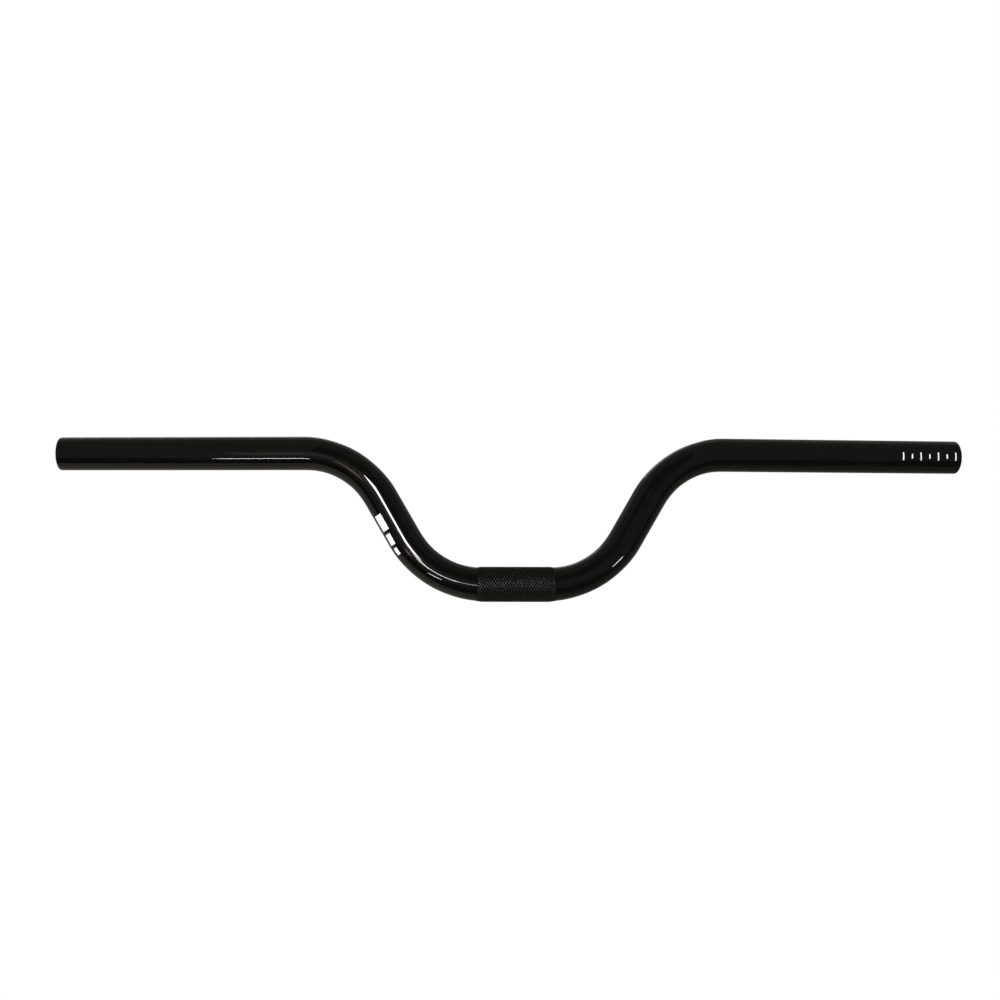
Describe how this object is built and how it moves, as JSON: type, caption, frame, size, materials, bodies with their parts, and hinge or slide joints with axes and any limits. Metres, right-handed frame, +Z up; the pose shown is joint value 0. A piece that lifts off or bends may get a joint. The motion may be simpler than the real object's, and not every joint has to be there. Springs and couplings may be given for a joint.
{
  "type": "bmx handlebar",
  "caption": "Low-rise bmx handlebar bent from one tube, with a raised knurled band for the stem and two swept-back open ends for grips.",
  "frame": {"origin": "on the stem axis, in the middle of the raised band", "axes": "+X along the stem axis towards the rider's left hand, +Y backwards to the rider, +Z up along the rise"},
  "size_m": [0.613, 0.0574, 0.1127],
  "materials": {
    "gloss_black_paint": "gloss",
    "white_ink": "satin"
  },
  "bodies": {
    "root": {"handlebar": "gloss_black_paint"}
  },
  "joints": []
}
